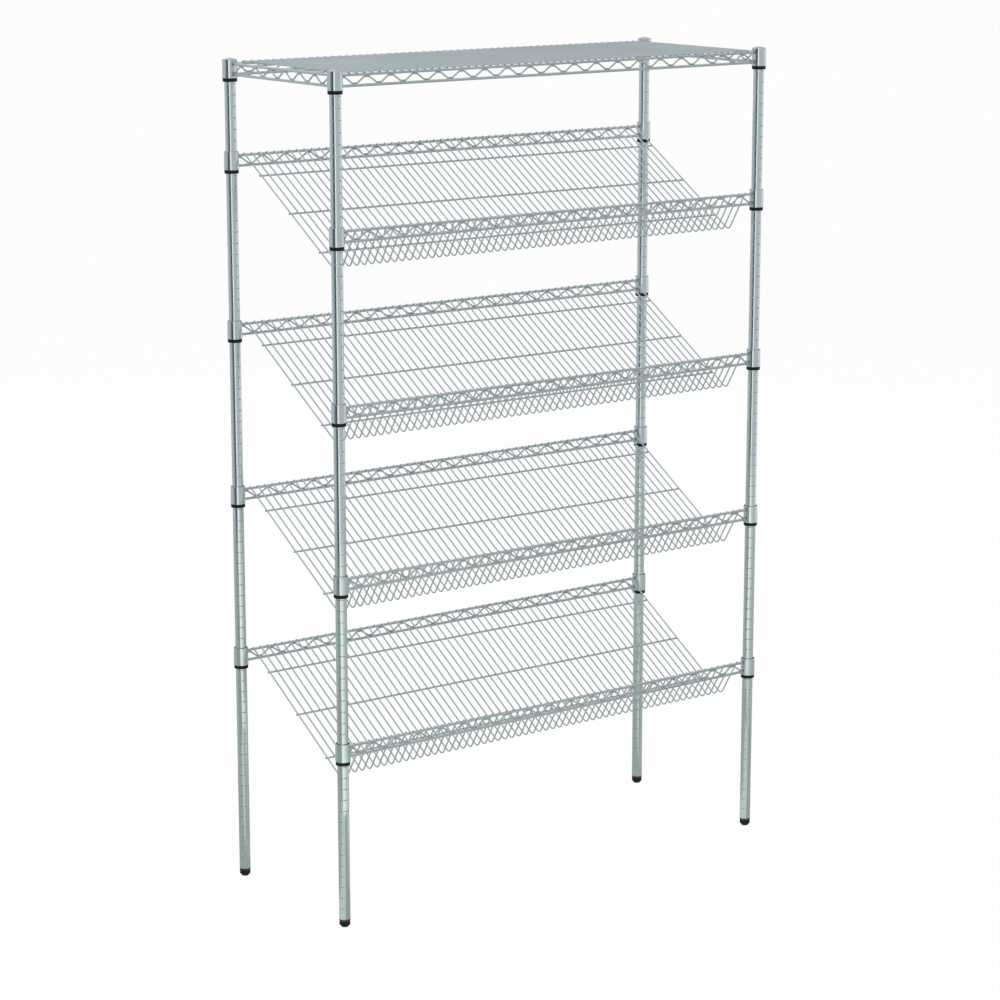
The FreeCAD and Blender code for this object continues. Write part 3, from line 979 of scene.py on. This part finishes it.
def insert_outline():
    """A plug for the tube's bore with a hole for the stem, and a flange under the tube's end."""
    return [(stem_hole, flange_bottom, 0.4 * MM), (post_radius, flange_bottom, 0.5 * MM),
            (post_radius, post_bottom, 0.2 * MM), (plug_radius, post_bottom, 0),
            (plug_radius, insert_top, 0.6 * MM), (stem_hole, insert_top, 0.3 * MM)]


def pad_outline():
    """A narrow round foot under a wider body, both with their lower rims rounded."""
    socket_bottom = pad_top - PAD_SOCKET
    return [(0, 0, 0), (PAD_FOOT_RADIUS, 0, 1.5 * MM), (PAD_FOOT_RADIUS, PAD_FOOT_HEIGHT, 0.5 * MM),
            (pad_radius, PAD_FOOT_HEIGHT, 1.2 * MM), (pad_radius, pad_top, 0.6 * MM),
            (stem_hole, pad_top, 0.3 * MM), (stem_hole, socket_bottom, 0), (0, socket_bottom, 0)]


insert = turned(insert_outline(), ROUND_SIDES)
pad = turned(pad_outline(), ROUND_SIDES)
for corner in CORNERS:
    foot = "foot_" + corner
    place = [post_axis[corner]]
    add_round_piece("insert_" + corner, "posts", "foot_insert_" + corner, "dull_zinc", [insert], place)
    add_round_piece("pad_" + corner, foot, "foot_pad_" + corner, "black_pad", [pad], place)
print("pads", round(2 * pad_radius / MM, 1), "mm across")

# %% [markdown]
# ## Foot screws
#
# A foot is levelled by turning its threaded stem in the insert. The thread shows only once the foot
# is screwed out, but then it is the one thing that tells what the part is for. It is a real helix:
# going once round the stem climbs by one pitch.

# %% Threaded stems
THREAD_PITCH = 1.5 * MM
THREAD_DEPTH = 0.85 * MM
THREAD_SIDES = 24
THREAD_CREASE = 60.0
ROWS_PER_TURN = 6
LEAD_IN = 1 * MM
stem_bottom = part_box("foot_stem_front_left")[0].z
stem_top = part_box("foot_stem_front_left")[1].z


def threaded_stem():
    """A wall whose radius goes in and out with the height, shifted round by round into a helix."""
    rows = round((stem_top - stem_bottom) / THREAD_PITCH * ROWS_PER_TURN)
    vertices = []
    for row in range(rows + 1):
        z = stem_bottom + (stem_top - stem_bottom) * row / rows
        from_end = min(z - stem_bottom, stem_top - z)
        lead_in = max(0.0, LEAD_IN - from_end)
        for column in range(THREAD_SIDES):
            turn = column / THREAD_SIDES
            phase = ((z - stem_bottom) / THREAD_PITCH - turn) % 1.0
            groove = 1 - abs(2 * phase - 1)
            r = stem_radius - THREAD_DEPTH * groove - lead_in
            vertices.append((r * math.cos(2 * math.pi * turn), r * math.sin(2 * math.pi * turn), z))
    faces = []
    for row in range(rows):
        low = row * THREAD_SIDES
        high = low + THREAD_SIDES
        for column in range(THREAD_SIDES):
            right = (column + 1) % THREAD_SIDES
            faces.append([low + column, low + right, high + right, high + column])
    faces.append(list(range(THREAD_SIDES))[::-1])
    faces.append(list(range(rows * THREAD_SIDES, (rows + 1) * THREAD_SIDES)))
    return vertices, faces


stem = threaded_stem()
for corner in CORNERS:
    add_round_piece("stem_" + corner, "foot_" + corner, "foot_stem_" + corner, "dull_zinc", [stem],
                    [post_axis[corner]], THREAD_CREASE)
print("stems with a thread pitch of", THREAD_PITCH / MM, "mm")

# %% [markdown]
# ## Floor and background
#
# The rack stands on a plain pale floor in front of nothing. The floor and the world show almost white
# to the camera and in reflections. For light that bounces from one surface to the next they are a
# plain pale floor and a dimmer world, so that the black pieces keep their shading.

# %% Floor
WHITE = (1, 1, 1, 1)
FLOOR_SHOWS = 0.96
FLOOR_HALF = 40.0
FLOOR_GAP = 0.5 * MM
ONE_FACE = [(0, 1, 2, 3)]


def seen_by_camera_or_mirror(tree):
    """One for camera rays and for rays that come off metal or pass through glass."""
    path = tree.nodes.new("ShaderNodeLightPath").outputs
    sum_of_two = arithmetic(tree, "ADD", path["Is Camera Ray"], path["Is Glossy Ray"])
    total = arithmetic(tree, "ADD", sum_of_two, path["Is Transmission Ray"])
    return arithmetic(tree, "MINIMUM", total, 1.0)


def square(half, z):
    return [(-half, -half, z), (half, -half, z), (half, half, z), (-half, half, z)]


floor_material, floor_tree = new_material("pale_floor")
floor_shader = floor_tree.nodes["Principled BSDF"]
fill(floor_tree, floor_shader, {"Base Color": (0.86, 0.86, 0.86, 1), "Roughness": 0.9})
floor_glow = add_node(floor_tree, "ShaderNodeEmission", {"Color": WHITE, "Strength": 1.0})
floor_share = arithmetic(floor_tree, "MULTIPLY", seen_by_camera_or_mirror(floor_tree), FLOOR_SHOWS)
floor_mix = add_node(floor_tree, "ShaderNodeMixShader", {
    0: floor_share, 1: floor_shader.outputs["BSDF"], 2: floor_glow.outputs["Emission"]})
fill(floor_tree, floor_tree.nodes["Material Output"], {"Surface": floor_mix.outputs["Shader"]})

floor = add_object("floor", plain_mesh("floor", square(FLOOR_HALF, 0), faces=ONE_FACE))
floor.data.materials.append(floor_material)
floor.location.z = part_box("foot_pad_front_left")[0].z - FLOOR_GAP
print("floor at", round(floor.location.z, 5))

# %% World
WORLD_LIGHT = 0.55
world = bpy.data.worlds.new("studio")
world.use_nodes = True
bpy.context.scene.world = world
world_strength = add_node(world.node_tree, "ShaderNodeMapRange", {
    "Value": seen_by_camera_or_mirror(world.node_tree), "From Min": 0.0, "From Max": 1.0,
    "To Min": WORLD_LIGHT, "To Max": 1.0})
fill(world.node_tree, world.node_tree.nodes["Background"],
     {"Color": WHITE, "Strength": world_strength.outputs["Result"]})
print("world light", WORLD_LIGHT)

# %% [markdown]
# ## Flags for the chrome
#
# A chromed tube in an all-white room turns white and loses its shape. A product photographer stands
# dark and grey boards, called flags, around the set, out of the picture, and each board shows as a
# stripe along every tube. The flags here are tables of bearings, counted from the camera, and tones:
#
# - Far boards stand in a ring at 9 m. Each continues over the floor to 4 m, because a camera that
#   looks slightly down sees the floor in an upright tube.
# - One dark board hangs high up, just inside the ring. It marks the grooves of the posts.
# - Middle sheets cover the floor from 4 m to the centre.
# - A mat of 1 m lies round the left feet and another round the right ones. The lowest part of each
#   post shows them.
# - One more board closes the set overhead.
#
# Only reflections see the flags: they cast no shadow and don't dim the light.

# %% Boards around the set
CAMERA_PLACE = (-4.065, -5.480, 2.374)
CAMERA_BEARING = math.degrees(math.atan2(CAMERA_PLACE[1], CAMERA_PLACE[0]))
RING_RADIUS = 9.0
MIDDLE_RADIUS = 4.0
MAT_RADIUS = 1.0
HIGH_RADIUS = 8.9
HIGH_FROM = 2.5
CEILING_HEIGHT = 5.0
SHEET_START = 10 * MM
BOARD_STEP_DEGREES = 5
FAR_BOARDS = [
    (-150, -74, (0.50, 0.56, 0.61)),
    (-74, -50, (0.32, 0.38, 0.39)),
    (-50, -19, (0.08, 0.11, 0.11)),
    (2, 84, (0.49, 0.55, 0.56)),
    (84, 145, (0.68, 0.75, 0.76)),
    (160, 185, (0.12, 0.15, 0.16)),
]
HIGH_BOARDS = [(50, 150, (0.04, 0.05, 0.05))]
MIDDLE_SHEETS = [
    (-180, -74, (0.42, 0.50, 0.47)),
    (-74, -19, (0.32, 0.38, 0.35)),
    (-19, 10, (0.96, 1.00, 0.98)),
    (10, 32, (0.74, 0.85, 0.82)),
    (32, 60, (0.55, 0.63, 0.60)),
    (60, 180, (0.43, 0.50, 0.47)),
]
MAT_SHEETS = [
    (-180, -46, (0.36, 0.43, 0.40)),
    (-46, -19, (0.45, 0.53, 0.49)),
    (-19, 32, (0.58, 0.67, 0.63)),
    (32, 90, (0.35, 0.41, 0.38)),
    (90, 180, (0.42, 0.49, 0.46)),
]


def stage_only_in_mirrors(name, vertices, faces, colour):
    material, tree = new_material(name + "_grey")
    tree.nodes.remove(tree.nodes["Principled BSDF"])
    glow = add_node(tree, "ShaderNodeEmission", {"Color": (*colour, 1), "Strength": 1.0})
    fill(tree, tree.nodes["Material Output"], {"Surface": glow.outputs["Emission"]})
    board = add_object(name, plain_mesh(name, vertices, faces=faces))
    board.data.materials.append(material)
    for ray in ("camera", "diffuse", "shadow", "transmission", "volume_scatter"):
        setattr(board, "visible_" + ray, False)


def ring(name, boards, profile, centre_x=0.0):
    """Boards between two bearings each; the profile is (radius, height) pairs."""
    for number, (start, end, colour) in enumerate(boards):
        steps = max(2, round((end - start) / BOARD_STEP_DEGREES))
        vertices = []
        for step in range(steps + 1):
            angle = math.radians(CAMERA_BEARING + start + (end - start) * step / steps)
            vertices += [(centre_x + radius * math.cos(angle), radius * math.sin(angle), z)
                         for radius, z in profile]
        faces = []
        for step in range(steps):
            for row in range(len(profile) - 1):
                here = step * len(profile) + row
                faces.append((here, here + 1, here + len(profile) + 1, here + len(profile)))
        stage_only_in_mirrors(name + "_" + str(number), vertices, faces, colour)
    print(name, len(boards))


def sheet(start, radius, height):
    """The profile of a sheet on the floor; sheets lie a millimetre above each other."""
    return [(start, height), (radius, height)]


ring("far_board", FAR_BOARDS,
     sheet(MIDDLE_RADIUS, RING_RADIUS, 2 * MM) + [(RING_RADIUS, CEILING_HEIGHT)])
ring("high_board", HIGH_BOARDS, [(HIGH_RADIUS, HIGH_FROM), (HIGH_RADIUS, CEILING_HEIGHT)])
ring("middle_sheet", MIDDLE_SHEETS, sheet(SHEET_START, MIDDLE_RADIUS, 3 * MM))
ring("left_mat", MAT_SHEETS, sheet(SHEET_START, MAT_RADIUS, 4 * MM), -half_width)
ring("right_mat", MAT_SHEETS, sheet(SHEET_START, MAT_RADIUS, 5 * MM), half_width)

# %% The board overhead
CEILING_HALF = 9.0
CEILING_TONE = (0.67, 0.72, 0.745)
stage_only_in_mirrors("board_overhead", square(CEILING_HALF, CEILING_HEIGHT), ONE_FACE, CEILING_TONE)
print("overhead board at", CEILING_HEIGHT, "m")

# %% [markdown]
# ## Lamps and camera
#
# Three large soft lamps light what isn't mirror: the black sleeves, the pads and the floor. The
# camera stands to the left of the rack, a little above its top, with a long lens. That is why the
# top shelf shows as a thin sliver and the uprights stay nearly parallel.

# %% Lamps
LAMP_SIDE = 2.5
LAMP_TARGET = Vector((0, 0, 0.9))


def soft_lamp(name, place, power):
    data = bpy.data.lights.new(name, "AREA")
    data.shape = "SQUARE"
    data.size = LAMP_SIDE
    data.energy = power
    lamp = add_object(name, data)
    lamp.location = place
    lamp.rotation_euler = (LAMP_TARGET - Vector(place)).to_track_quat("-Z", "Y").to_euler()
    lamp.visible_glossy = False


soft_lamp("key_lamp", (-3.5, -4.0, 4.2), 130)
soft_lamp("fill_lamp", (4.0, -3.0, 3.0), 70)
soft_lamp("rear_lamp", (1.0, 4.5, 3.8), 70)

# %% Camera
LENS = 107.2
SENSOR_WIDTH = 36.0
CAMERA_YAW = 0.6378
CAMERA_PITCH = 0.2182
camera = add_object("camera", bpy.data.cameras.new("camera"))
camera.data.lens = LENS
camera.data.sensor_width = SENSOR_WIDTH
looking = Vector((math.cos(CAMERA_PITCH) * math.sin(CAMERA_YAW),
                  math.cos(CAMERA_PITCH) * math.cos(CAMERA_YAW), -math.sin(CAMERA_PITCH)))
camera.location = CAMERA_PLACE
camera.rotation_euler = looking.to_track_quat("-Z", "Y").to_euler()
bpy.context.scene.camera = camera
bpy.context.scene.view_settings.view_transform = "Standard"
print("camera", tuple(round(value, 3) for value in camera.location), "lens", LENS)
